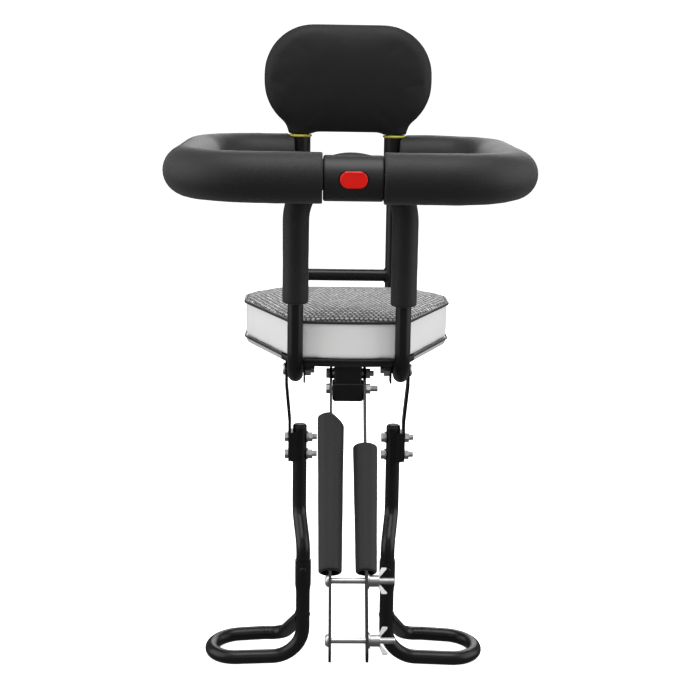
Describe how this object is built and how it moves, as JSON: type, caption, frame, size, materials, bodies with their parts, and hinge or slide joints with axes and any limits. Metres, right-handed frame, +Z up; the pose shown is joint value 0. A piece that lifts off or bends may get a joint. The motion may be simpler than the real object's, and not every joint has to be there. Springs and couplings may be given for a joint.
{
  "type": "kids handlebar bike seat",
  "caption": "Child's bike seat with a foam guard ring that opens at a push-button clasp, a padded backrest, footrests and a two-arm frame clamp.",
  "frame": {"origin": "middle of the clamp gap, between the two arms and between the two cross bolts", "axes": "+X to the right of a viewer facing the seat, +Y from the front of the seat to its back, +Z up"},
  "size_m": [0.402, 0.4448, 0.7265],
  "materials": {
    "black_powder_coat": "gloss",
    "black_foam": "matte",
    "cushion_fabric": "matte",
    "piping_vinyl": "satin",
    "cover_fabric": "satin",
    "trim_binding": "matte",
    "black_plastic": "satin",
    "red_plastic": "gloss",
    "pan_board": "matte",
    "bright_steel": "polished",
    "zinc_steel": "satin"
  },
  "bodies": {
    "seat": {"back_crossbar": "black_powder_coat", "backrest_pad": "cover_fabric", "bracket_nuts": "zinc_steel", "clamp_washers": "bright_steel", "cover_trims": "trim_binding", "cushion_piping": "piping_vinyl", "foot_channel": "black_powder_coat", "front_frame": "black_powder_coat", "front_strap": "black_powder_coat", "hoop_foam": "black_foam", "left_arm_sleeve": "black_foam", "left_backing_plate": "black_powder_coat", "left_clamp_arm": "black_powder_coat", "lock_bolt": "zinc_steel", "lower_clamp_bolt": "zinc_steel", "pivot_bolts": "zinc_steel", "pivot_nuts": "zinc_steel", "rear_frame": "black_powder_coat", "rear_strap": "black_powder_coat", "right_arm_sleeve": "black_foam", "right_backing_plate": "black_powder_coat", "right_clamp_arm": "black_powder_coat", "seat_bracket": "black_powder_coat", "seat_cushion": "cushion_fabric", "seat_pan": "pan_board", "stop_rings": "black_powder_coat", "tilt_bolt": "zinc_steel", "tilt_spacers": "zinc_steel", "upper_clamp_bolt": "zinc_steel"},
    "left_rail": {"left_rail_tube": "black_powder_coat", "left_rail_foam": "black_foam", "clasp_tongue": "black_plastic"},
    "right_rail": {"right_rail_tube": "black_powder_coat", "right_rail_foam": "black_foam", "clasp_body": "black_plastic"},
    "release_button": {"release_button": "red_plastic"},
    "left_footrest": {"left_hanger": "black_powder_coat", "left_saddle": "black_powder_coat", "left_peg_tube": "black_powder_coat", "left_tube_cap": "black_plastic", "left_peg_bolts": "zinc_steel", "left_peg_nuts": "zinc_steel", "left_peg_washers": "bright_steel", "left_foot_loop": "black_powder_coat"},
    "right_footrest": {"right_hanger": "black_powder_coat", "right_saddle": "black_powder_coat", "right_peg_tube": "black_powder_coat", "right_tube_cap": "black_plastic", "right_peg_bolts": "zinc_steel", "right_peg_nuts": "zinc_steel", "right_peg_washers": "bright_steel", "right_foot_loop": "black_powder_coat"},
    "left_snap": {"left_snap_button": "black_powder_coat"},
    "right_snap": {"right_snap_button": "black_powder_coat"},
    "upper_wing": {"upper_wing_nut": "bright_steel"},
    "lower_wing": {"lower_wing_nut": "bright_steel"}
  },
  "joints": [
    {"name": "left_rail_swing", "type": "hinge", "parent": "seat", "child": "left_rail", "pos_m": [-0.058, 0.3813, 0.428], "axis": [0, 0, 1], "range_deg": [-75, 0]},
    {"name": "right_rail_swing", "type": "hinge", "parent": "seat", "child": "right_rail", "pos_m": [0.058, 0.3813, 0.428], "axis": [0, 0, 1], "range_deg": [0, 75]},
    {"name": "button_press", "type": "slide", "parent": "right_rail", "child": "release_button", "axis": [0, 1, 0], "range_m": [0, 0.004], "stiffness_N_per_m": 300, "springref_m": -0.003},
    {"name": "left_footrest_swing", "type": "hinge", "parent": "seat", "child": "left_footrest", "pos_m": [-0.0683, 0.19, 0.20743], "axis": [1, 0, 0], "range_deg": [0, 60]},
    {"name": "left_snap_press", "type": "slide", "parent": "left_footrest", "child": "left_snap", "axis": [0, 1, 0], "range_m": [0, 0.0025], "stiffness_N_per_m": 300, "springref_m": -0.002},
    {"name": "right_footrest_swing", "type": "hinge", "parent": "seat", "child": "right_footrest", "pos_m": [0.0683, 0.19, 0.20743], "axis": [1, 0, 0], "range_deg": [0, 60]},
    {"name": "right_snap_press", "type": "slide", "parent": "right_footrest", "child": "right_snap", "axis": [0, 1, 0], "range_m": [0, 0.0025], "stiffness_N_per_m": 300, "springref_m": -0.002},
    {"name": "upper_wing_turn", "type": "hinge", "parent": "seat", "child": "upper_wing", "pos_m": [0.0265, 0.01993, 0.02375], "axis": [1, 0, 0], "continuous": true},
    {"name": "lower_wing_turn", "type": "hinge", "parent": "seat", "child": "lower_wing", "pos_m": [0.0265, -0.01993, -0.02375], "axis": [1, 0, 0], "continuous": true}
  ]
}
